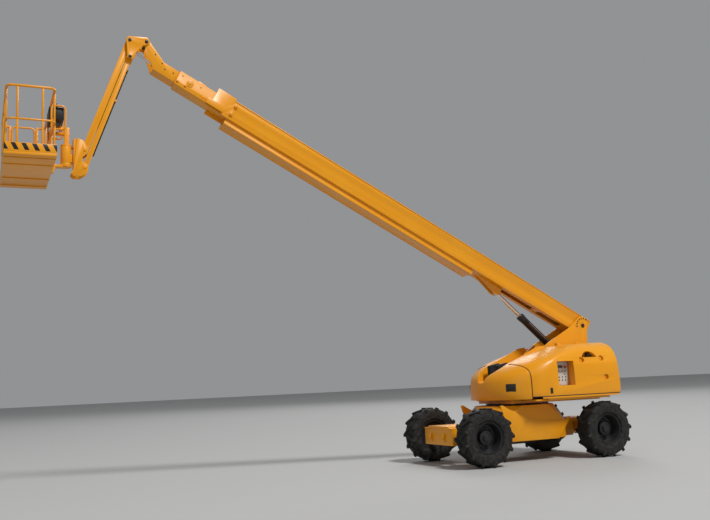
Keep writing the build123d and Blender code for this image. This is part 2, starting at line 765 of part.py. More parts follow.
def boom_collar():
    """The base section's head: end ring, cover, cheeks, the chain box on the left and two pad bosses a side."""
    end = base_length + head_cap
    collar = block(base_length, base_length + 8, -base_half_width, base_half_width, base_bottom, base_top)
    collar -= block(base_length - 1, base_length + 9, -mid_half_width - 4, mid_half_width + 4,
                    mid_bottom - 4, mid_top + 4)
    cap = block(base_length, end, -base_half_width, base_half_width, base_top, base_top + 60)
    cheek = block(base_length, end, mid_half_width + 6, base_half_width, base_bottom, base_top)
    boss = both_sides(rod_y(base_length - 55, 96, 34, base_half_width - 1, base_half_width + 26))
    boss += both_sides(rod_y(base_length - 40, -84, 34, base_half_width - 1, base_half_width + 26))
    box = block(base_length + 130, end + 100, base_half_width - 1, base_half_width + 96, -178, -62)
    box -= block(base_length + 140, end + 90, base_half_width + 8, base_half_width + 88, -180, -72)
    return [collar, cap, box] + both_sides(cheek) + boss


def pivot_pin():
    """The boom's main pin, held by the uprights."""
    half = tower_inner_y + tower_plate + 14
    return rod_y(pivot_x, pivot_z, pivot_pin_radius, -half, half)


def mid_boom():
    """The middle section."""
    tube = box_tube(mid_tail, mid_head, mid_half_width, mid_bottom, mid_top, section_wall)
    tube += wear_pads(mid_head - pad_length, mid_bore, fly_outside, (0, pin_gap))
    tube += wear_pads(mid_tail, base_bore, mid_outside, (pin_gap, 0))
    tube += block(mid_head - 520, mid_head - 370, -60, 60, mid_top - 1, mid_top + 62)
    for s in (mid_head - 190, mid_head - 30):
        tube += both_sides(rod_y(s, -60, 22, mid_half_width - 1, mid_half_width + 14))
    return at_boom(tube)


def fly_boom():
    """The inner section with its nose plates up to the knuckle's pin."""
    tube = box_tube(fly_tail, fly_head, fly_half_width, fly_bottom, fly_top, section_wall)
    nose = plate_xz([(9790, fly_bottom), (fly_head, fly_bottom), (10480, 170), (knuckle_s + 50, knuckle_t - 50),
                     (knuckle_s + 40, knuckle_t + 45), (knuckle_s - 30, knuckle_t + 55), (10100, fly_top),
                     (9790, fly_top)], fly_half_width, knuckle_inner_y - 6)
    tube += wear_pads(fly_tail, mid_bore, fly_outside, (pin_gap, 0))
    eye = rod_y(knuckle_s, knuckle_t, 30 + pin_gap / 6, -400, 400)
    solid = tube + both_sides(nose) - eye
    return at_boom(solid)


def knuckle_pin():
    """The gooseneck's pin."""
    x, z = boom_point(knuckle_s, knuckle_t)
    half = knuckle_inner_y + knuckle_plate + 8
    return rod_y(x, z, 30, -half, half)


def jib_pins():
    """Jib pins in X and Z: upper and lower at the knuckle, upper and lower at the support."""
    knuckle_x, knuckle_z = boom_point(knuckle_s, knuckle_t)
    upper = (knuckle_x + jib_pin_dx, knuckle_z + jib_pin_dz)
    angle = radians(jib_rest_angle)
    reach = (jib_length * cos(angle), jib_length * sin(angle))
    lower = (upper[0], upper[1] - jib_pin_spacing)
    far_upper = (upper[0] + reach[0], upper[1] + reach[1])
    far_lower = (lower[0] + reach[0], lower[1] + reach[1])
    return upper, lower, far_upper, far_lower


def knuckle_plates():
    """Two side plates that stay level, joining the boom's nose to the jib."""
    knuckle_x, knuckle_z = boom_point(knuckle_s, knuckle_t)
    upper, lower, far_upper, far_lower = jib_pins()
    outline = [(upper[0] + 60, upper[1] + 30), (upper[0] + 20, upper[1] + 70), (knuckle_x - 20, knuckle_z + 80),
               (knuckle_x - 62, knuckle_z), (knuckle_x - 20, knuckle_z - 55), (knuckle_x + 70, knuckle_z - 80),
               (lower[0] - 120, lower[1] + 100), (lower[0] - 50, lower[1] - 40), (lower[0] + 45, lower[1] - 30)]
    y0 = knuckle_inner_y
    plates = both_sides(plate_xz(outline, y0, y0 + knuckle_plate))
    solid = plates[0] + plates[1]
    bar_x0 = upper[0] - 150
    solid += rod_y(bar_x0, upper[1] + 30, 30, -y0, y0)
    for x, z in (upper, lower):
        solid += rod_y(x, z, jib_pin_radius, -y0 - knuckle_plate - 8, y0 + knuckle_plate + 8)
    solid -= rod_y(knuckle_x, knuckle_z, 30 + pin_gap / 6, -400, 400)
    return solid


def along_jib(start, shape):
    """From a jib arm's own axis to its place at rest."""
    return Location((start[0], 0, start[1]), (0, -jib_rest_angle, 0)) * shape


def jib_channel(start, depth, opening):
    """One arm of the jib: a channel with an eye at each end; it opens up or down."""
    half = jib_half_width
    solid = block(60, jib_length - 60, -half, half, -depth / 2, depth / 2)
    solid -= block(59, jib_length - 59, jib_wall - half, half - jib_wall,
                   -depth / 2 - 1 if opening < 0 else -depth / 2 + jib_wall,
                   depth / 2 + 1 if opening > 0 else depth / 2 - jib_wall)
    for x in (0, jib_length):
        x0, x1 = sorted((abs(x - 59), abs(x - jib_web_start)))
        solid -= block(x0, x1, jib_wall - half, half - jib_wall, -depth, depth)
    for x in (0, jib_length):
        for sign in (1, -1):
            y0, y1 = sorted((sign * half, sign * (half - 24)))
            solid += rod_y(x, 0, depth / 2, y0, y1)
            solid += block(min(x, abs(x - 70)), max(x, abs(x - 70)), y0, y1, -depth / 2, depth / 2)
        solid -= rod_y(x, 0, jib_pin_radius + 0.05, -200, 200)
    return along_jib(start, solid)


def jib_cylinder():
    """The jib's cylinder: barrel at the lower knuckle pin, rod at the support's upper pin."""
    upper, lower, far_upper, far_lower = jib_pins()
    length = hypot(far_upper[0] - lower[0], far_upper[1] - lower[1])
    angle = degrees(atan2(far_upper[1] - lower[1], far_upper[0] - lower[0]))
    place = Location((lower[0], 0, lower[1]), (0, -angle, 0))
    end = length - 330
    barrel = bar_x(40, end, jib_barrel_radius) + rod_y(0, 0, 45, -30, 30)
    barrel -= bar_x(900, end + 1, jib_rod_radius + 0.5)
    barrel -= rod_y(0, 0, jib_pin_radius + 0.05, -60, 60)
    rod = bar_x(1000, length - 30, jib_rod_radius) + rod_y(length, 0, 45, -30, 30)
    rod += rod_y(length, 0, jib_pin_radius, -46, 46)
    save(place * barrel, "jib_barrel")
    save(place * rod, "jib_rod")


def slave_cylinder():
    """The levelling cylinder in the boom's nose, with its rod to the knuckle."""
    knuckle_x, knuckle_z = boom_point(knuckle_s, knuckle_t)
    pin = (knuckle_x + slave_pin_dx, knuckle_z + slave_pin_dz)
    foot = boom_point(9450, -30)
    length = hypot(pin[0] - foot[0], pin[1] - foot[1])
    angle = degrees(atan2(pin[1] - foot[1], pin[0] - foot[0]))
    place = Location((foot[0], 0, foot[1]), (0, -angle, 0))
    end = length - 330
    barrel = bar_x(30, end, 42) + rod_y(0, 0, 40, -fly_half_width + section_wall, fly_half_width - section_wall)
    barrel -= bar_x(300, end + 1, 20.5)
    rod = bar_x(500, length - 30, 20) + rod_y(length, 0, 34, -26, 26)
    save(place * barrel, "leveling_barrel")
    save(place * rod, "leveling_rod")


# Platform

def platform_support():
    """The cast bracket that hangs from the jib's end and carries the rotator."""
    upper, lower, far_upper, far_lower = jib_pins()
    outline = [(column_x - 10, 6045), (far_upper[0] + 30, 6010), (far_upper[0] - 55, far_upper[1] + 40),
               (far_upper[0] - 55, far_upper[1] - 50), (far_upper[0] + 40, far_upper[1] - 130),
               (far_lower[0] + 40, far_lower[1] + 110), (far_lower[0] - 55, far_lower[1] + 40),
               (far_lower[0] - 45, far_lower[1] - 90), (column_x - 70, 5372),
               (column_x + 50, 5372), (column_x + 90, 5420), (column_x + 50, 5500)]
    y0 = jib_half_width + 4
    plates = both_sides(plate_xz(outline, y0, y0 + 16))
    solid = plates[0] + plates[1]
    solid += block(column_x - 10, column_x + 50, -y0, y0, 5480, 6030)
    solid += rod_y(far_lower[0], far_lower[1], jib_pin_radius, -y0 - 24, y0 + 24)
    solid += both_sides(rod_y(far_upper[0], far_upper[1], jib_pin_radius, 72, y0 + 24))
    gusset = plate_xz([(column_x + 40, 5860), (rotator_x + 40, 6035), (column_x + 40, 6035)], 40, 54)
    solid += both_sides(gusset & block(column_x, rotator_x - rotator_radius + 20, 0, 100, 5800, 5905))
    solid += block(column_x + 40, rotator_x, -60, 60, 5620, 5760)
    solid += Pos(rotator_x, 0, 5750) * Cylinder(rotator_radius, 300)
    return solid


def platform_arm():
    """The bracket that turns on the rotator and carries the basket."""
    ring = Pos(rotator_x, 0, 5585 - pin_gap) * Cylinder(rotator_radius, 30)
    top = Pos(rotator_x, 0, 5915 + pin_gap) * Cylinder(rotator_radius, 30)
    lower = block(rotator_x, platform_back - 40, -70, 70, 5530, 5569)
    seat_x = platform_back - pin_gap
    lower += plate_xz([(seat_x - 60, 5569), (seat_x, 5620), (seat_x, 5428), (seat_x - 30, 5428),
                       (seat_x - 60, 5500)], -70, 70)
    solid = ring + lower + Pos(rotator_x, 0, 5560) * Cylinder(rotator_radius, 40)
    solid += top
    for z in (6125, 6222):
        solid += bar_x(rotator_x - 60, panel_x - pin_gap, 30, z=z)
    solid += block(rotator_x - 50, rotator_x + 30, -40, 40, 5925, 6240)
    clamp = Pos(rotator_x + 83, 0, 6222) * Rot(0, 90, 0)
    solid += clamp * extrude(RegularPolygon(62, 6), 30)
    return solid


def platform_floor_tray():
    """The floor and its toe boards, each board a plate of its own that stands on the floor."""
    low = platform_floor + pin_gap
    high = platform_floor + toe_height
    wall = 8
    half = platform_half_length
    side = half - wall - pin_gap
    boards = [block(platform_front - wall, platform_front, -side, side, low, high),
              block(platform_back, platform_back + wall, -side, side, low, high),
              block(platform_back, platform_front, half - wall, half, low, high),
              block(platform_back, gate_start_x - rail_radius, -half, wall - half, low, high),
              block(gate_start_x + gate_width + rail_radius, platform_front, -half, wall - half, low, high)]
    floor = block(platform_back, platform_front, -half, half, platform_floor - 40, platform_floor)
    return Compound(children=[floor] + boards)


def tube_along(path, radius):
    """A platform tube, solid and with eight flats, swept along a path."""
    section = Plane(origin=path @ 0, z_dir=path % 0) * RegularPolygon(radius, tube_sides, major_radius=False)
    return sweep(section, path)


def rail_run(start, end, radius):
    """A straight piece of rail."""
    return tube_along(Polyline(start, end), radius)


def rail_loop(z, radius):
    """A rail round the platform at one height, open at the gate: runs and bends, each a piece of its own."""
    half = platform_half_length - 30
    front, back = platform_front - 30, platform_back + 30
    bend = rail_bend
    clear = bend + pin_gap
    corners = [(front, -half, 1, -1), (front, half, 1, 1), (back, half, -1, 1), (back, -half, -1, -1)]
    pieces = []
    for x, y, sx, sy in corners:
        arc = ThreePointArc((x, y - sy * bend, z),
                            (x - sx * bend * (1 - cos(pi / 4)), y - sy * bend * (1 - sin(pi / 4)), z),
                            (x - sx * bend, y, z))
        pieces.append(tube_along(arc, radius))
    pieces.append(rail_run((gate_start_x + gate_width, -half, z), (front - clear, -half, z), radius))
    pieces.append(rail_run((front, clear - half, z), (front, half - clear, z), radius))
    pieces.append(rail_run((front - clear, half, z), (back + clear, half, z), radius))
    pieces.append(rail_run((back, half - clear, z), (back, clear - half, z), radius))
    return pieces


def post(x, y, radius, low, high):
    """An upright between two heights."""
    flats = RegularPolygon(radius, tube_sides, major_radius=False)
    return Pos(x, y, low) * extrude(flats, high - low)


def platform_rails():
    """Posts and rails, the panel behind the console and the gate's two hinge rings."""
    top = platform_floor + rail_height
    mid = platform_floor + rail_height / 2
    mid_radius = rail_radius * 0.8
    half = platform_half_length - 30
    low = platform_floor + pin_gap
    pieces = rail_loop(top, rail_radius) + rail_loop(mid, mid_radius)
    places = [(x, y) for x in (platform_back + 30, platform_front - 30)
              for y in (150 - half, -380, 380, half - 150)]
    places += [(platform_back + 216, half), (platform_front - 190, half)]
    for x, y in places:
        pieces.append(post(x, y, mid_radius, low, mid - mid_radius - pin_gap))
        pieces.append(post(x, y, mid_radius, mid + mid_radius + pin_gap, top - rail_radius - pin_gap))
    hinge_x = gate_start_x + rail_radius + gate_gap + mid_radius
    hinge_post = post(gate_start_x, -half, rail_radius, low, top + rail_radius)
    for z in (platform_floor + 250, platform_floor + 760):
        ring = block(gate_start_x, hinge_x + 26, -half - 26, -half + 26, z, z + 30)
        hinge_post += ring - Pos(hinge_x, -half, z + 15) * Cylinder(mid_radius + pin_gap, 34)
    latch_post = post(gate_start_x + gate_width, -half, rail_radius, low, top + rail_radius)
    panel = block(panel_x, platform_back + 30 - mid_radius, -390, 390, 6100, 6260)
    guard_x = platform_back - 200
    for y in (-console_guard_y, console_guard_y):
        guard = FilletPolyline((platform_back + 9, y, top), (guard_x, y, top), (guard_x, y, 6120),
                               (panel_x - pin_gap, y, 6120), radius=70)
        pieces.append(tube_along(guard, 15))
    return pieces + [hinge_post, latch_post, panel]


def platform_gate():
    """The entry gate at the right-hand end; it swings inwards on its post."""
    y = 30 - platform_half_length
    radius = rail_radius * 0.8
    top = platform_floor + rail_height
    x0 = gate_start_x + rail_radius + gate_gap + radius
    x1 = gate_start_x + gate_width - rail_radius - gate_gap - radius
    low = platform_floor + gate_gap
    path = FilletPolyline((x0, y, top - 90), (x0, y, top), (x1, y, top), (x1, y, low), radius=60)
    loop = tube_along(path, radius)
    loop += Pos(x0, y, (low + top) / 2 - 45) * Cylinder(radius, top - low - 90)
    loop += bar_x(x0, x1, radius * 0.8, y=y, z=platform_floor + rail_height / 2)
    loop += block(x0, x1, y - 4, y + 4, low, platform_floor + toe_height)
    return loop


def console():
    """The upper control box on the rail."""
    top = platform_floor + rail_height
    rail_clearance = rail_radius / cos(pi / tube_sides)
    return block(platform_back - 180, platform_back + 60, -console_half_width, console_half_width,
                 top - 230, top - rail_clearance)


# Everything

save(chassis_frame(), "chassis_frame")
save(transmission(), "transmission")
save(slew_ring(), "slew_ring")
save(front_axle(), "front_axle")
save(rear_axle(), "rear_axle")
save(tie_rod(), "tie_rod")
save(knuckle(1), "knuckle_left")
save(knuckle(-1), "knuckle_right")
wheels()
save(turret_frame(), "turret_frame")
save(counterweight(), "counterweight")
hoods()
save(ground_controls(), "ground_controls")
save(engine(), "engine")
save(boom_rest(), "boom_rest")
save(pivot_pin(), "pivot_pin")
save(lift_barrel(), "lift_barrel")
save(lift_foot_pin(), "lift_foot_pin")
save(lift_rod(), "lift_rod")
save(base_boom(), "base_boom")
save(mid_boom(), "mid_boom")
save(fly_boom(), "fly_boom")
save(knuckle_pin(), "knuckle_pin")
save(knuckle_plates(), "knuckle_plates")
upper_pin, lower_pin = jib_pins()[:2]
save(jib_channel(upper_pin, jib_arm_depth, -1), "jib_arm")
save(jib_channel(lower_pin, jib_link_depth, 1), "jib_link")
jib_cylinder()
slave_cylinder()
save(platform_support(), "platform_support")
save(platform_arm(), "platform_arm")
save(platform_floor_tray(), "platform_floor")
save(Compound(children=platform_rails()), "platform_rails")
save(platform_gate(), "platform_gate")
save(console(), "console")
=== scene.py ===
import json
import math

import bpy
from mathutils import Matrix, Vector


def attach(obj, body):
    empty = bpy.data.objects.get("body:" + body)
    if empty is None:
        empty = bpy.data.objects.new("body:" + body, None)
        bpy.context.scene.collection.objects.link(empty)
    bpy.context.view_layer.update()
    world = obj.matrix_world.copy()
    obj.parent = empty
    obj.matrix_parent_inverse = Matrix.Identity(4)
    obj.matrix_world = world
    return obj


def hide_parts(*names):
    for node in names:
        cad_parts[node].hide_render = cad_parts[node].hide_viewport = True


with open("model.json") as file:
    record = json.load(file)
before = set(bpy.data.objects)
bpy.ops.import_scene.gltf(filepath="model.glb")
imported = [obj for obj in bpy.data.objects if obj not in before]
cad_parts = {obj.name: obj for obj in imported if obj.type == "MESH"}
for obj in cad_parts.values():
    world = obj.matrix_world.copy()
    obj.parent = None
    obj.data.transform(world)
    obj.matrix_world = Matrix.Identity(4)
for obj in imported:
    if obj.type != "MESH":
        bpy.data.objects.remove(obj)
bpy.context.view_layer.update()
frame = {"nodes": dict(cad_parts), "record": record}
bodyOf = {node: body for body, nodes in frame["record"]["behaviour"]["bodies"].items() for node in nodes}
slotOf = {part["node"]: part["material_slot"] for part in frame["record"]["subparts"]}

# the machine's own numbers, in metres, as the solids have them
machine = {
    "wheelX": 1.4, "wheelY": 1.0325, "tyreRadius": 0.55, "pivot": Vector((-1.74, 0, 2.67)),
    "elevation": math.radians(28.3), "deck": 5.45,
    "liftFoot": Vector((-1.6697, 0, 1.7102)), "liftAngle": math.radians(41.4),
}
sideSign = {"left": 1, "right": -1}
endSign = {"front": 1, "rear": -1}


# shader maths: a socket that can be written into an expression
class Wire:
    def __init__(self, tree, socket):
        self.tree = tree
        self.socket = socket

    def math(self, operation, *others):
        node = self.tree.nodes.new("ShaderNodeMath")
        node.operation = operation
        for place, value in enumerate((self,) + others):
            feed(self.tree, node.inputs[place], value)
        return Wire(self.tree, node.outputs[0])

    def __add__(self, other):
        return self.math("ADD", other)

    def __sub__(self, other):
        return self.math("SUBTRACT", other)

    def __rsub__(self, other):
        return (self * -1.0) + other

    def __mul__(self, other):
        return self.math("MULTIPLY", other)

    def __gt__(self, other):
        return self.math("GREATER_THAN", other)

    def __lt__(self, other):
        return self.math("LESS_THAN", other)


def feed(tree, socket, value):
    if isinstance(value, Wire):
        tree.links.new(value.socket, socket)
    else:
        socket.default_value = value


class Finish:
    # a material on a principled shader; numbers that are the same all over go straight on its sockets
    def __init__(self, name, slot, **sockets):
        self.slot = slot
        self.material = bpy.data.materials.new(name)
        self.material.use_nodes = True
        self.tree = self.material.node_tree
        self.shader = self.tree.nodes["Principled BSDF"]
        for socket, value in sockets.items():
            self.shader.inputs[socket.replace("_", " ")].default_value = value
        where = self.node("ShaderNodeTexCoord", {}, {})
        self.place = Wire(self.tree, where.outputs["Object"])
        self.normal = Wire(self.tree, where.outputs["Normal"])

    def node(self, kind, settings, values):
        made = self.tree.nodes.new(kind)
        for name, value in settings.items():
            setattr(made, name, value)
        for socket, value in values.items():
            feed(self.tree, made.inputs[socket], value)
        return made

    def out(self, made, socket=0):
        return Wire(self.tree, made.outputs[socket])

    def noise(self, scale, detail=3.0, rough=0.5):
        made = self.node("ShaderNodeTexNoise", {}, {"Vector": self.place, "Scale": scale,
                                                    "Detail": detail, "Roughness": rough})
        return self.out(made)

    def ramp(self, value, low, high):
        made = self.node("ShaderNodeMapRange", {"interpolation_type": "SMOOTHSTEP"},
                         {"Value": value, "From Min": low, "From Max": high})
        return self.out(made)

    def mix(self, factor, one, other):
        # the node has sockets for numbers, vectors and colours; 6, 7 and 2 are those for colours
        made = self.node("ShaderNodeMix", {"data_type": "RGBA"}, {0: factor, 6: one, 7: other})
        return self.out(made, 2)

    def axis(self, vector, letter):
        return self.out(self.node("ShaderNodeSeparateXYZ", {}, {0: vector}), letter)

    def give(self, **sockets):
        for socket, value in sockets.items():
            feed(self.tree, self.shader.inputs[socket.replace("_", " ")], value)

    def bump(self, height, distance):
        made = self.node("ShaderNodeBump", {}, {"Height": height, "Distance": distance, "Strength": 1.0})
        self.tree.links.new(made.outputs[0], self.shader.inputs["Normal"])


def rgb(red, green, blue):
    return (red, green, blue, 1.0)


wear = {"fade": 0.5, "fadeScale": 1.3, "blotch": 0.08, "blotchScale": 9.0, "dustScale": 5.0,
        "dustOnTop": 0.4, "dustAll": 0.03, "dustRough": 0.5, "blotchRough": 0.1, "blotchRise": 0.3,
        "peelScale": 420.0}


def enamel(name, slot, colour, pale, dusty, gloss=0.34, peel=0.00006):
    # sprayed enamel: slow fading, dust on what faces up, a fine orange-peel surface
    made = Finish(name, slot, Coat_Weight=0.1, Coat_Roughness=0.22, Specular_IOR_Level=0.35)
    fade = made.ramp(made.noise(wear["fadeScale"], detail=4.0), low=0.42, high=0.75)
    blotch = made.ramp(made.noise(wear["blotchScale"], detail=6.0, rough=0.6), low=0.5, high=0.78)
    upward = made.ramp(made.axis(made.normal, "Z"), low=0.6, high=1.0)
    settled = made.ramp(made.noise(wear["dustScale"], detail=8.0, rough=0.65), low=0.35, high=0.7)
    dust = settled * (upward * wear["dustOnTop"] + wear["dustAll"])
    body = made.mix(fade * wear["fade"], colour, pale)
    body = made.mix(blotch * wear["blotch"], body, dusty)
    rough = dust * wear["dustRough"] + blotch * wear["blotchRough"] + gloss
    made.give(Base_Color=made.mix(dust, body, dusty), Roughness=rough)
    made.bump(made.noise(wear["peelScale"], detail=2.0) + blotch * wear["blotchRise"], peel)
    return made


film = {"scale": 22.0, "share": 0.35, "colour": rgb(0.22, 0.21, 0.2), "grainRough": 0.18,
        "grainDepth": 0.00008}


def steel(name, slot, colour, rough, scale):
    # ground or rolled steel: a fine grain, and a thin film of dirt in spots
    made = Finish(name, slot, Metallic=1.0)
    grain = made.noise(scale, detail=6.0, rough=0.7)
    spots = made.ramp(made.noise(film["scale"], detail=5.0), low=0.5, high=0.7)
    made.give(Base_Color=made.mix(spots * film["share"], colour, film["colour"]),
              Roughness=grain * film["grainRough"] + rough)
    made.bump(grain, film["grainDepth"])
    return made


tread = {"black": rgb(0.01, 0.01, 0.011), "dust": rgb(0.06, 0.054, 0.044), "grooveFoot": 0.5, "lugTop": 0.535,
         "mottleScale": 18.0, "dustInGroove": 0.5, "dustAll": 0.15, "rough": 0.62, "dustRough": 0.25,
         "grainScale": 240.0, "mottleRise": 0.6, "grainDepth": 0.0004}


def rubber(name, slot):
    # tread rubber: black on the lugs, dry dust in the grooves and on the side walls
    made = Finish(name, slot, Specular_IOR_Level=0.2)
    across = made.axis(made.place, "X").math("ABSOLUTE") - machine["wheelX"]
    height = made.axis(made.place, "Z") - machine["tyreRadius"]
    radius = (across * across + height * height).math("SQRT")
    groove = 1.0 - made.ramp(radius, tread["grooveFoot"], tread["lugTop"])
    mottle = made.noise(tread["mottleScale"], detail=8.0, rough=0.65)
    dust = made.ramp(mottle, low=0.35, high=0.72) * (groove * tread["dustInGroove"] + tread["dustAll"])
    made.give(Base_Color=made.mix(dust, tread["black"], tread["dust"]),
              Roughness=dust * tread["dustRough"] + tread["rough"])
    made.bump(made.noise(tread["grainScale"], detail=4.0) + mottle * tread["mottleRise"], tread["grainDepth"])
    return made


amberColours = [rgb(0.8, 0.31, 0.002), rgb(0.86, 0.38, 0.012), rgb(0.62, 0.38, 0.12)]  # sprayed, faded, dusty
amber = enamel("amber enamel", "body_paint", *amberColours)
blackPaint = enamel("black satin paint", "dark_steel", rgb(0.012, 0.012, 0.014), rgb(0.022, 0.022, 0.023),
                    rgb(0.12, 0.11, 0.095), gloss=0.42)
castAmber = enamel("amber casting", "cast_weight", rgb(0.8, 0.27, 0.006), rgb(0.85, 0.34, 0.025),
                   rgb(0.58, 0.41, 0.2), gloss=0.45, peel=0.0006)
castGrey = enamel("dark casting", "cast_weight", rgb(0.05, 0.052, 0.056), rgb(0.07, 0.07, 0.072),
                  rgb(0.14, 0.125, 0.1), gloss=0.55, peel=0.0006)
chrome = steel("hard chrome", "chrome_rod", rgb(0.78, 0.79, 0.81), rough=0.08, scale=140.0)
treadRubber = rubber("tread rubber", "tyre_rubber")
panelPlastic = enamel("pale panel plastic", "panel_grey", rgb(0.62, 0.63, 0.6), rgb(0.68, 0.68, 0.65),
                      rgb(0.4, 0.37, 0.31), gloss=0.4)
redPlastic = enamel("red plastic", "panel_grey", rgb(0.55, 0.012, 0.01), rgb(0.6, 0.03, 0.02),
                    rgb(0.3, 0.2, 0.16))
greenPlastic = enamel("green plastic", "panel_grey", rgb(0.02, 0.24, 0.06), rgb(0.03, 0.3, 0.08),
                      rgb(0.2, 0.25, 0.18))
blackPlastic = enamel("black plastic", "panel_grey", rgb(0.012, 0.012, 0.013), rgb(0.02, 0.02, 0.021),
                      rgb(0.09, 0.085, 0.08), gloss=0.5)
zinc = steel("plated fastener", "chrome_rod", rgb(0.5, 0.48, 0.44), rough=0.34, scale=90.0)
glass = Finish("display window", "panel_grey", Base_Color=rgb(0.01, 0.014, 0.02), Roughness=0.08,
               Coat_Weight=1.0)

bars = {"pitch": 0.155, "slant": -0.5, "share": 0.45, "low": 0.03, "high": 0.142,
        "colour": rgb(0.012, 0.012, 0.013)}


def stripedAmber():
    # the toe boards' slanting black bars on the machine's amber
    made = enamel("amber with bars", "body_paint", *amberColours)
    x, y, z = (made.axis(made.place, letter) for letter in "XYZ")
    run = (x + y) * (1 / bars["pitch"]) + (z - machine["deck"]) * (bars["slant"] / bars["pitch"])
    stripe = run.math("FRACT") < bars["share"]
    inBand = (z > machine["deck"] + bars["low"]) * (z < machine["deck"] + bars["high"])
    painted = made.shader.inputs["Base Color"].links[0].from_socket
    made.give(Base_Color=made.mix(stripe * inBand, Wire(made.tree, painted), bars["colour"]))
    return made


barAmber = stripedAmber()
finishOf = {"body_paint": amber, "dark_steel": blackPaint, "cast_weight": castAmber, "chrome_rod": chrome,
            "tyre_rubber": treadRubber, "panel_grey": panelPlastic}
print("materials are made")

mergeDistance = 0.00002  # the solids' triangles are loose, and meet within this
dressing = {"segments": 2, "angle": math.radians(28), "joinedAngle": math.radians(40),
            "flatWithin": math.radians(0.6), "smoothUnder": math.radians(35)}


def deselectAll():
    if bpy.context.mode != "OBJECT":
        bpy.ops.object.mode_set(mode="OBJECT")
    bpy.ops.object.select_all(action="DESELECT")


def pick(piece):
    deselectAll()
    piece.select_set(True)
    bpy.context.view_layer.objects.active = piece


def settle(piece, finish, body):
    # place into the mesh, smooth by angle, material, body
    pick(piece)
    bpy.ops.object.transform_apply(location=True, rotation=True, scale=True)
    bpy.ops.object.shade_smooth_by_angle(angle=dressing["smoothUnder"])
    piece.data.materials.clear()
    piece.data.materials.append(finish.material)
    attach(piece, body)
    return piece


def dress(node, finish, bevel):
    # a CAD node's own form with its edges broken, as a welded or cast part has them
    source = frame["nodes"][node]
    piece = source.copy()
    piece.data = source.data.copy()
    piece.name = node + "_form"
    bpy.context.collection.objects.link(piece)
    piece.parent = None
    piece.matrix_world = Matrix.Identity(4)
    pick(piece)
    if piece.data.has_custom_normals:
        bpy.ops.mesh.customdata_custom_splitnormals_clear()
    bpy.ops.object.mode_set(mode="EDIT")
    bpy.ops.mesh.select_all(action="SELECT")
    bpy.ops.mesh.remove_doubles(threshold=mergeDistance)
    bpy.ops.mesh.dissolve_limited(angle_limit=dressing["flatWithin"])
    bpy.ops.object.mode_set(mode="OBJECT")
    edge = piece.modifiers.new("edge", "BEVEL")
    edge.width = bevel
    edge.segments = dressing["segments"]
    edge.limit_method = "ANGLE"
    edge.angle_limit = dressing["angle"]
    bpy.ops.object.modifier_apply(modifier="edge")
    settle(piece, finish, bodyOf[node])
    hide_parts(node)
    return piece


# every rigid solid with its edges broken; the small ones by fineEdge
fineEdge = 0.002
edgeWidth = {"chassis_frame": 0.006, "turret_frame": 0.004, "base_boom": 0.006, "mid_boom": 0.004,
             "fly_boom": 0.004, "counterweight": 0.015, "engine": 0.01, "front_axle": 0.005,
             "rear_axle": 0.005, "platform_support": 0.005, "knuckle_plates": 0.003, "boom_rest": 0.004,
             "console": 0.012}
ownFinish = {"platform_floor": barAmber, "console": blackPlastic, "engine": castGrey}
for node in frame["nodes"]:
    dress(node, ownFinish.get(node, finishOf[slotOf[node]]), edgeWidth.get(node, fineEdge))
print("solids are dressed")


# plain forms that the details are made of
def disc(place, axis, radius, length, sides=24):
    bpy.ops.mesh.primitive_cylinder_add(vertices=sides, radius=radius, depth=length, location=place)
    piece = bpy.context.object
    piece.rotation_euler = Vector(axis).to_track_quat("Z", "Y").to_euler()
    return piece


def stud(foot, axis, radius, height, sides=6):
    # a disc that stands on its foot, six-sided as a bolt's head
    return disc(foot + axis * (height / 2), axis, radius, height, sides)


def slab(place, size, turn=0.0):
    bpy.ops.mesh.primitive_cube_add(size=1, location=place, rotation=(0, 0, turn))
    piece = bpy.context.object
    piece.scale = size
    return piece


def hoop(place, axis, radius, thick, sides=40):
    bpy.ops.mesh.primitive_torus_add(major_radius=radius, minor_radius=thick, major_segments=sides,
                                     minor_segments=8, location=place)
    piece = bpy.context.object
    piece.rotation_euler = Vector(axis).to_track_quat("Z", "Y").to_euler()
    return piece


def join(pieces, name, edge=0.0):
    # one mesh with its place in it, and its edges broken
    deselectAll()
    for piece in pieces:
        piece.select_set(True)
    bpy.context.view_layer.objects.active = pieces[0]
    bpy.ops.object.join()
    piece = bpy.context.object
    piece.name = name
    pick(piece)
    bpy.ops.object.transform_apply(location=True, rotation=True, scale=True)
    if edge:
        rounding = piece.modifiers.new("edge", "BEVEL")
        rounding.width = edge
        rounding.segments = dressing["segments"]
        rounding.limit_method = "ANGLE"
        rounding.angle_limit = dressing["joinedAngle"]
        bpy.ops.object.modifier_apply(modifier="edge")
    return piece


def pipe(points, radius, name):
    # a bent tube through a short list of points, as a mesh
    data = bpy.data.curves.new(name, "CURVE")
    data.dimensions = "3D"
    data.bevel_depth = radius
    data.bevel_resolution = 2
    data.use_fill_caps = True
    run = data.splines.new("NURBS")
    run.points.add(len(points) - 1)
    for point, place in zip(run.points, points):
        point.co = (*place, 1.0)
    run.order_u = 3
    run.use_endpoint_u = True
    piece = bpy.data.objects.new(name, data)
    bpy.context.collection.objects.link(piece)
    pick(piece)
    bpy.ops.object.convert(target="MESH")
    return bpy.context.object


def onLine(piece, origin, angle):
    # from a boom's or cylinder's own axis, X along it, to its place at rest
    pick(piece)
    piece.matrix_world = Matrix.Translation(origin) @ Matrix.Rotation(-angle, 4, "Y") @ piece.matrix_world
    bpy.ops.object.transform_apply(location=True, rotation=True, scale=True)
    return piece


def around(count, radius, start=0.0, sweep=math.tau):
    # places round a circle, as pairs
    return [(radius * math.cos(start + sweep * step / count), radius * math.sin(start + sweep * step / count))
            for step in range(count)]


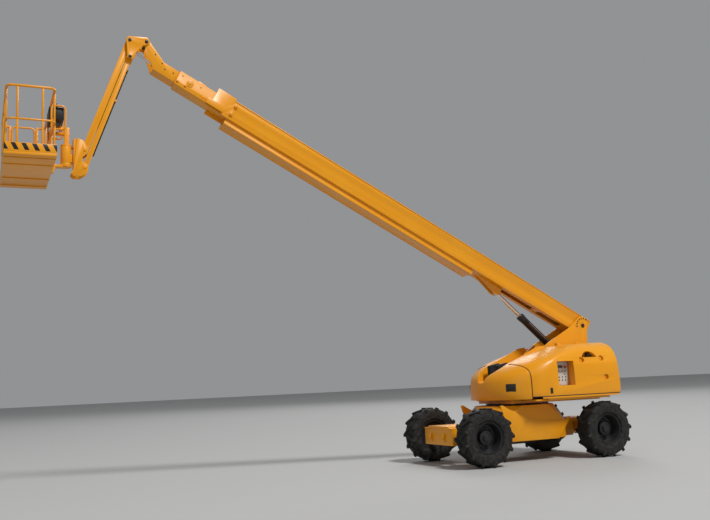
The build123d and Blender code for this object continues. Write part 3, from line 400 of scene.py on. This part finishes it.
# wheels: nuts on the disc, the drive hub's cover and bolts, bead lines on the tyre
wheel = {"discY": -0.045, "nuts": 10, "nutCircle": 0.19, "nutRadius": 0.016, "nutHeight": 0.022,
         "washerRadius": 0.0216, "washerHeight": 0.004,
         "hubY": 0.053, "hubBolts": 12, "hubCircle": 0.108, "hubTurn": 0.2,
         "boltRadius": 0.009, "boltHeight": 0.008,
         "hubRing": 0.088, "ringThick": 0.004,
         "coverY": 0.083, "coverRadius": 0.058, "coverHeight": 0.004,
         "plug": Vector((0.03, 0, 0.02)), "plugRadius": 0.011, "plugHeight": 0.01, "plugSunk": 0.002,
         "beadY": 0.176, "beadRadius": 0.352, "beadThick": 0.005}
for end, endAt in endSign.items():
    for side, sideAt in sideSign.items():
        name = end + "_" + side
        centre = Vector((endAt * machine["wheelX"], sideAt * machine["wheelY"], machine["tyreRadius"]))
        out = Vector((0, sideAt, 0))
        nuts = []
        for x, z in around(wheel["nuts"], wheel["nutCircle"]):
            foot = centre + Vector((x, 0, z)) + out * wheel["discY"]
            nuts.append(stud(foot, out, wheel["nutRadius"], wheel["nutHeight"]))
            nuts.append(stud(foot, out, wheel["washerRadius"], wheel["washerHeight"], sides=16))
        for x, z in around(wheel["hubBolts"], wheel["hubCircle"], wheel["hubTurn"]):
            foot = centre + Vector((x, 0, z)) + out * wheel["hubY"]
            nuts.append(stud(foot, out, wheel["boltRadius"], wheel["boltHeight"]))
        settle(join(nuts, "wheel_nuts_" + name, edge=0.0012), blackPaint, "wheel_" + name)
        coverFoot = centre + out * wheel["coverY"]
        plugFoot = coverFoot + wheel["plug"] + out * wheel["plugSunk"]
        cover = [stud(coverFoot, out, wheel["coverRadius"], wheel["coverHeight"], sides=32),
                 stud(plugFoot, out, wheel["plugRadius"], wheel["plugHeight"]),
                 hoop(centre + out * wheel["hubY"], out, wheel["hubRing"], wheel["ringThick"])]
        settle(join(cover, "hub_cover_" + name, edge=0.001), blackPaint, "wheel_" + name)
        beads = [hoop(centre + out * y, out, wheel["beadRadius"], wheel["beadThick"], sides=64)
                 for y in (wheel["beadY"], -wheel["beadY"])]
        settle(join(beads, "tyre_beads_" + name), treadRubber, "wheel_" + name)
print("wheels are detailed")

# the lower control station's face: switches in rows, a key switch, a stop button, a small display;
# what is round has its radius and height as a pair
station = {"place": (-0.515, 0.9475, 1.675), "size": (0.35, 0.004, 0.43),
           "rows": (1.545, 1.605, 1.72), "columns": 4, "firstX": -0.63, "stepX": 0.075,
           "nut": (0.013, 0.006), "toggle": (0.0042, 0.024), "toggleRise": 0.014,
           "toggleTilt": Vector((0, 0, 0.35)), "display": (-0.51, 1.81), "displaySize": (0.12, 0.006, 0.055),
           "stop": (-0.62, 1.8), "stopStem": (0.011, 0.024), "stopHead": (0.025, 0.014), "stopRise": 0.023,
           "key": (-0.4, 1.8), "keyRing": (0.014, 0.008), "keyGrip": (0.004, 0.014, 0.02), "keyRise": 0.012,
           "starts": ((-0.42, 1.66), (-0.62, 1.66)), "startButton": (0.013, 0.012)}
leftwards = Vector((0, 1, 0))


def onFace(x, z, rise=0.0):
    # a place on the face's front, or a little before it
    return Vector((x, station["place"][1] + station["size"][1] / 2 + rise, z))


settle(join([slab(station["place"], station["size"])], "control_face", edge=0.0015), panelPlastic, "turret")
switches = []
for z in station["rows"]:
    for column in range(station["columns"]):
        x = station["firstX"] + station["stepX"] * column
        switches.append(stud(onFace(x, z), leftwards, *station["nut"]))
        place = onFace(x, z, station["toggleRise"])
        switches.append(disc(place, leftwards + station["toggleTilt"], *station["toggle"], sides=10))
settle(join(switches, "control_switches", edge=0.0008), blackPlastic, "turret")
stopButton = [stud(onFace(*station["stop"]), leftwards, *station["stopStem"], sides=24),
              stud(onFace(*station["stop"], station["stopRise"]), leftwards, *station["stopHead"], sides=24)]
settle(join(stopButton, "control_stop", edge=0.003), redPlastic, "turret")
keySwitch = [stud(onFace(*station["key"]), leftwards, *station["keyRing"], sides=24),
             slab(onFace(*station["key"], station["keyRise"]), station["keyGrip"])]
settle(join(keySwitch, "control_key", edge=0.001), zinc, "turret")
display = slab(onFace(*station["display"], station["displaySize"][1] / 2), station["displaySize"])
settle(join([display], "control_display", edge=0.002), glass, "turret")
starts = [stud(onFace(x, z), leftwards, *station["startButton"], sides=24) for x, z in station["starts"]]
settle(join(starts, "control_starts", edge=0.002), greenPlastic, "turret")

# latch plates on the nose covers, turned as the cover is there; the left one has a raised grip
noseLatch = {"place": Vector((0.541, 0.75, 1.44)), "turn": math.radians(35.8), "plate": (0.02, 0.2, 0.15),
             "sunk": 0.004, "grip": (0.008, 0.13, 0.045), "gripRise": 0.006}
for side, sideAt in sideSign.items():
    turn = noseLatch["turn"] * sideAt
    ahead = Vector((math.cos(turn), math.sin(turn), 0))
    place = noseLatch["place"] * Vector((1, sideAt, 1))
    latch = [slab(place - ahead * noseLatch["sunk"], noseLatch["plate"], turn)]
    if side == "left":
        latch.append(slab(place + ahead * noseLatch["gripRise"], noseLatch["grip"], turn))
    settle(join(latch, "nose_latch_" + side, edge=0.006), blackPlastic, "turret")

# on the doors: the latch, the fittings inside the arched vent (each x, z, radius, reach outwards) and the
# plugs in the three round dishes (each x, y, z)
door = {"latchX": -0.131, "latchY": 1.149, "latchZ": 1.352, "latchSize": (0.055, 0.012, 0.11),
        "gripY": 1.156, "gripZ": 1.362, "gripSize": (0.03, 0.01, 0.06), "ventY": 0.93,
        "vent": ((-1.06, 2.005, 0.03, 0.06), (-1.2, 2.02, 0.042, 0.075), (-1.27, 2.01, 0.018, 0.05)),
        "nutShare": 0.62, "nutHeight": 0.024, "plugRadius": 0.034, "plugHeight": 0.016,
        "dishes": ((-0.935, 1.071, 1.915), (-1.428, 1.071, 1.935), (-1.496, 1.106, 1.562))}
for side, sideAt in sideSign.items():
    out = Vector((0, sideAt, 0))
    latch = [slab((door["latchX"], sideAt * door["latchY"], door["latchZ"]), door["latchSize"]),
             slab((door["latchX"], sideAt * door["gripY"], door["gripZ"]), door["gripSize"])]
    settle(join(latch, "door_latches_" + side, edge=0.004), blackPlastic, "door_" + side)
    fittings = []
    for x, z, radius, reach in door["vent"]:
        foot = Vector((x, sideAt * door["ventY"], z))
        fittings.append(stud(foot, out, radius, reach, sides=20))
        fittings.append(disc(foot + out * reach, out, radius * door["nutShare"], door["nutHeight"], sides=6))
    settle(join(fittings, "vent_fittings_" + side, edge=0.003), blackPlastic, "door_" + side)
    plugs = [disc((x, sideAt * y, z), out, door["plugRadius"], door["plugHeight"], sides=20)
             for x, y, z in door["dishes"]]
    settle(join(plugs, "dish_plugs_" + side, edge=0.003), amber, "door_" + side)

# a black rubber bead on each door's edge, along the seam with the nose cover; along the sill the black bead
# is painted shade, a dark line that stands in for the shadow gap under the door
seam = {"nearX": 0.2, "lowZ": 1.3, "radius": 0.0075,
        "across": 0.02, "ahead": 0.3, "down": -0.9, "outward": 0.05}  # how the faces' normals lie


def facesSeam(face, low):
    # the door's edge face: straight across the machine, and looking ahead, or down onto nose cover or sill
    down = face.normal.z < seam["down"]
    ahead = face.normal.x > seam["ahead"]
    onCover = (ahead or (down and low > seam["lowZ"])) and face.center.x > seam["nearX"]
    # the bead on the sill edge is painted shade: a black line in place of the shadow gap under the door
    onSillShadeLine = down and low < seam["lowZ"]
    return abs(face.normal.y) < seam["across"] and (onCover or onSillShadeLine)


for side, sideAt in sideSign.items():
    bead = bpy.data.objects.new("door_seal_and_painted_shade_" + side, frame["nodes"]["hood_" + side].data.copy())
    bpy.context.collection.objects.link(bead)
    pick(bead)
    bpy.ops.object.mode_set(mode="EDIT")
    bpy.ops.mesh.select_all(action="SELECT")
    bpy.ops.mesh.remove_doubles(threshold=mergeDistance)
    bpy.ops.mesh.select_mode(type="EDGE")
    bpy.ops.mesh.select_all(action="DESELECT")
    bpy.ops.object.mode_set(mode="OBJECT")
    sharing = {}  # the faces on each edge
    for face in bead.data.polygons:
        for key in face.edge_keys:
            sharing.setdefault(key, []).append(face)
    for edge in bead.data.edges:
        faces = sharing[edge.key]
        low = min(bead.data.vertices[index].co.z for index in edge.vertices)
        onSeam = [facesSeam(face, low) for face in faces]
        skins = [face for face, seen in zip(faces, onSeam)
                 if not seen and face.normal.y * sideAt > seam["outward"]]
        edge.select = not (any(onSeam) and skins)
    bpy.ops.object.mode_set(mode="EDIT")
    bpy.ops.mesh.delete(type="EDGE")
    bpy.ops.mesh.select_all(action="SELECT")
    bpy.ops.mesh.delete_loose(use_verts=True, use_edges=False, use_faces=False)
    bpy.ops.object.mode_set(mode="OBJECT")
    bpy.ops.object.convert(target="CURVE")
    bead.data.bevel_depth = seam["radius"]
    bead.data.bevel_resolution = 2
    bead.data.use_fill_caps = True
    bpy.ops.object.convert(target="MESH")
    settle(bpy.context.object, blackPlastic, "door_" + side)
print("lower station and doors are detailed")

# bolts round the pivot on the uprights, and on the slewing ring
turretBolts = {"pivotCount": 7, "pivotCircle": 0.155, "pivotY": 0.252, "start": math.radians(-5),
               "sweep": math.radians(150), "pivotRadius": 0.014, "pivotHeight": 0.012,
               "ringCount": 28, "ringCircle": 0.5, "ringTurn": 0.1, "ringZ": 1.127, "ringRadius": 0.011,
               "ringHeight": 0.01}
upwards = Vector((0, 0, 1))
bolts = []
for sideAt in sideSign.values():
    out = Vector((0, sideAt, 0))
    for x, z in around(turretBolts["pivotCount"], turretBolts["pivotCircle"], turretBolts["start"],
                       turretBolts["sweep"]):
        place = machine["pivot"] + Vector((x, 0, z)) + out * turretBolts["pivotY"]
        bolts.append(disc(place, out, turretBolts["pivotRadius"], turretBolts["pivotHeight"], sides=6))
for x, y in around(turretBolts["ringCount"], turretBolts["ringCircle"], turretBolts["ringTurn"]):
    place = (x, y, turretBolts["ringZ"])
    bolts.append(disc(place, upwards, turretBolts["ringRadius"], turretBolts["ringHeight"], sides=6))
settle(join(bolts, "turret_bolts", edge=0.001), blackPaint, "turret")

# bolts, pads and plugs on the three boom heads, placed along the boom (s) and above its axis (t); each
# single form has its radius and height as a pair
boomHead = {"baseBolts": ((8.605, 0.096), (8.62, -0.084)), "baseY": 0.229, "baseBolt": (0.019, 0.01),
            "hoopY": 0.226, "hoop": (0.026, 0.0025),
            "topBolts": (8.7, 8.8, 8.9, 9.0), "topY": 0.14, "topT": 0.249, "topBolt": (0.012, 0.01),
            "padS": 9.52, "padT": 0.027, "padY": 0.168, "pad": (0.066, 0.008), "padNutY": 0.174,
            "padNut": (0.02, 0.012), "midBolt": (0.015, 0.01),
            "lowBolts": ((9.58, -0.06), (9.74, -0.06)), "lowY": 0.182,
            "sideBolts": ((9.32, 0.08), (9.7, 0.09), (9.2, -0.07)), "sideY": 0.169,
            "plugs": ((10.029, 0.017), (9.87, 0.042), (10.12, 0.09), (10.3, 0.17)), "plugY": 0.1445,
            "plug": (0.012, 0.006)}


def onBoom(pieces, name):
    return onLine(join(pieces, name, edge=0.001), machine["pivot"], machine["elevation"])


head = []
for s, t in boomHead["baseBolts"]:
    for sideAt in sideSign.values():
        head.append(disc((s, sideAt * boomHead["baseY"], t), (0, sideAt, 0), *boomHead["baseBolt"], sides=6))
        head.append(hoop((s, sideAt * boomHead["hoopY"], t), (0, sideAt, 0), *boomHead["hoop"], sides=24))
for s in boomHead["topBolts"]:
    for sideAt in sideSign.values():
        place = (s, sideAt * boomHead["topY"], boomHead["topT"])
        head.append(disc(place, upwards, *boomHead["topBolt"], sides=6))
settle(onBoom(head, "base_head_bolts"), amber, "boom_base")
middle = []
for sideAt in sideSign.values():
    out = Vector((0, sideAt, 0))
    padPlace = Vector((boomHead["padS"], 0, boomHead["padT"]))
    middle.append(disc(padPlace + out * boomHead["padY"], out, *boomHead["pad"], sides=40))
    middle.append(disc(padPlace + out * boomHead["padNutY"], out, *boomHead["padNut"], sides=6))
    for group in ("low", "side"):
        for s, t in boomHead[group + "Bolts"]:
            middle.append(disc((s, sideAt * boomHead[group + "Y"], t), out, *boomHead["midBolt"], sides=6))
settle(onBoom(middle, "mid_head_bolts"), amber, "boom_mid")
tip = [disc((s, sideAt * boomHead["plugY"], t), (0, sideAt, 0), *boomHead["plug"], sides=20)
       for sideAt in sideSign.values() for s, t in boomHead["plugs"]]
settle(onBoom(tip, "fly_plugs"), blackPlastic, "boom_fly")
print("turret and boom are detailed")

# the lift cylinder's gland, port blocks and steel pipe, along its own axis from the foot
liftDetail = {"glandX": 1.806, "gland": (0.062, 0.02), "portY": 0.09,
              "topX": 1.62, "topSize": (0.06, 0.03, 0.05), "footX": 0.2, "footSize": (0.09, 0.03, 0.07),
              "pipeRadius": 0.006,
              "pipe": ((0.2, 0.1, 0), (0.3, 0.101, 0), (1.5, 0.101, 0), (1.62, 0.098, 0))}
forwards = Vector((1, 0, 0))
gland = disc((liftDetail["glandX"], 0, 0), forwards, *liftDetail["gland"], sides=32)
ports = [gland,
         slab((liftDetail["topX"], liftDetail["portY"], 0), liftDetail["topSize"]),
         slab((liftDetail["footX"], liftDetail["portY"], 0), liftDetail["footSize"])]
settle(onLine(join(ports, "lift_ports", edge=0.004), machine["liftFoot"], machine["liftAngle"]), blackPaint,
       "lift_barrel_body")
liftPipe = pipe(liftDetail["pipe"], liftDetail["pipeRadius"], "lift_pipe")
settle(onLine(liftPipe, machine["liftFoot"], machine["liftAngle"]), zinc, "lift_barrel_body")

# the upper controls: a face with two sticks, switches and a stop button, under the top rail; a stick's
# parts are each the height of the middle, the radius, the length and the sides
upperBox = {"lid": (8.94, 0, 6.512), "lidSize": (0.24, 0.5, 0.008), "stickX": 8.93, "stickY": 0.16,
            "stick": ((6.522, 0.028, 0.012, 24), (6.545, 0.018, 0.04, 20), (6.585, 0.011, 0.05, 16)),
            "switchX": 8.88, "switchZ": 6.522, "switches": 5, "firstY": -0.07, "stepY": 0.035,
            "switch": (0.008, 0.014), "stop": (8.97, 0, 6.524), "stopButton": (0.02, 0.018)}
lid = slab(upperBox["lid"], upperBox["lidSize"])
settle(join([lid], "console_lid", edge=0.003), blackPlastic, "platform")
sticks = []
for y in (-upperBox["stickY"], upperBox["stickY"]):
    for z, radius, length, sides in upperBox["stick"]:
        sticks.append(disc((upperBox["stickX"], y, z), upwards, radius, length, sides))
for column in range(upperBox["switches"]):
    y = upperBox["firstY"] + upperBox["stepY"] * column
    sticks.append(disc((upperBox["switchX"], y, upperBox["switchZ"]), upwards, *upperBox["switch"], sides=6))
settle(join(sticks, "console_sticks", edge=0.002), blackPlastic, "platform")
stopButton = disc(upperBox["stop"], upwards, *upperBox["stopButton"])
settle(join([stopButton], "console_stop", edge=0.004), redPlastic, "platform")

# under the deck: folded ribs; on the knuckle: caps on its three pins
deckRibs = {"x": 9.39, "y": (-0.41, 0.53, -0.95, 0.95), "z": 5.402, "size": (0.76, 0.05, 0.014)}
ribs = [slab((deckRibs["x"], y, deckRibs["z"]), deckRibs["size"]) for y in deckRibs["y"]]
settle(join(ribs, "deck_ribs", edge=0.003), amber, "platform")
pinCap = {"pins": ((7.7019, 7.9132), (7.7019, 7.6032), (7.4069, 7.9142)), "y": 0.177, "cap": (0.03, 0.006),
          "boltY": 0.182, "bolt": (0.01, 0.008)}
caps = []
for sideAt in sideSign.values():
    for x, z in pinCap["pins"]:
        caps.append(disc((x, sideAt * pinCap["y"], z), (0, sideAt, 0), *pinCap["cap"], sides=28))
        caps.append(disc((x, sideAt * pinCap["boltY"], z), (0, sideAt, 0), *pinCap["bolt"], sides=6))
settle(join(caps, "knuckle_caps", edge=0.001), blackPaint, "knuckle_body")

# two hoses clipped flat along the back of the jib's lower arm, between two port blocks
hoses = {"pin": Vector((7.702, 0, 7.6033)), "angle": math.radians(-69.8), "start": 0.235, "end": 1.9,
         "radius": 0.011, "y": 0.017, "z": -0.055, "block": (0.05, 0.09, 0.027),
         "ties": (0.4, 1.25, 1.65), "tie": (0.012, 0.066, 0.027), "tieRise": 0.001,
         "clip": 0.84, "clipY": 0.0475, "clipFoot": (0.04, 0.015, 0.03),
         "strap": (0.04, 0.11, 0.005), "strapRise": -0.014}
hoseMiddle = (hoses["start"] + hoses["end"]) / 2
hoseLength = hoses["end"] - hoses["start"]
bundle = [disc((hoseMiddle, y, hoses["z"]), forwards, hoses["radius"], hoseLength, sides=16)
          for y in (-hoses["y"], hoses["y"])]
bundle += [slab((s, 0, hoses["z"]), hoses["block"]) for s in (hoses["start"], hoses["end"])]
bundle += [slab((s, 0, hoses["z"] + hoses["tieRise"]), hoses["tie"]) for s in hoses["ties"]]
settle(onLine(join(bundle, "jib_hoses", edge=0.002), hoses["pin"], hoses["angle"]), blackPlastic, "jib_lower")
clip = [slab((hoses["clip"], 0, hoses["z"] + hoses["strapRise"]), hoses["strap"])]
clip += [slab((hoses["clip"], y, hoses["z"]), hoses["clipFoot"]) for y in (hoses["clipY"], -hoses["clipY"])]
settle(onLine(join(clip, "jib_hose_clip", edge=0.001), hoses["pin"], hoses["angle"]), amber, "jib_lower")
print("cylinder, console and jib are detailed")

# the photograph's viewpoint, from a fit of the wheels, boom and platform to it
lens = {"focal": 42.85, "sensor": 36, "reach": 500, "place": (10.106, 14.8047, 1.6376),
        "right": (-0.91319, 0.40496, -0.04575), "up": (0.01788, 0.15197, 0.98822),
        "ahead": (-0.40714, -0.90162, 0.14602)}
camera = bpy.data.objects.new("camera", bpy.data.cameras.new("camera"))
bpy.context.collection.objects.link(camera)
camera.data.sensor_width = lens["sensor"]
camera.data.lens = lens["focal"]
camera.data.clip_end = lens["reach"]
turn = Matrix((lens["right"], lens["up"], [-value for value in lens["ahead"]])).transposed()
camera.matrix_world = Matrix.Translation(lens["place"]) @ turn.to_4x4()
bpy.context.scene.camera = camera

# studio: a pale floor and soft light
studio = {"floorSize": 400, "floorColour": rgb(0.44, 0.44, 0.43), "air": rgb(0.95, 0.97, 1.0),
          "airStrength": 0.3, "lit": Vector((3, 0, 3.5))}  # lit: the point that the lamps look at
floorFinish = Finish("pale floor", "body_paint", Roughness=0.9, Base_Color=studio["floorColour"])
deselectAll()
bpy.ops.mesh.primitive_plane_add(size=studio["floorSize"], location=(0, 0, 0))
floor = bpy.context.object
floor.name = "floor"
floor.data.materials.append(floorFinish.material)

world = bpy.data.worlds.new("studio")
bpy.context.scene.world = world
world.use_nodes = True
background = world.node_tree.nodes["Background"]
background.inputs["Color"].default_value = studio["air"]
background.inputs["Strength"].default_value = studio["airStrength"]

lamps = {"key": {"place": (-12, 45, 62), "size": 13, "power": 47000},
         "fill": {"place": (45, 30, 22), "size": 27, "power": 1700},
         "back": {"place": (-24, -42, 38), "size": 24, "power": 8000}}
for name, values in lamps.items():
    lamp = bpy.data.objects.new(name, bpy.data.lights.new(name, "AREA"))
    bpy.context.collection.objects.link(lamp)
    lamp.data.size = values["size"]
    lamp.data.energy = values["power"]
    lamp.location = values["place"]
    aim = studio["lit"] - Vector(values["place"])
    lamp.rotation_euler = aim.to_track_quat("-Z", "Y").to_euler()
bpy.context.scene.view_settings.view_transform = "Standard"
print("camera, floor and lamps are placed")
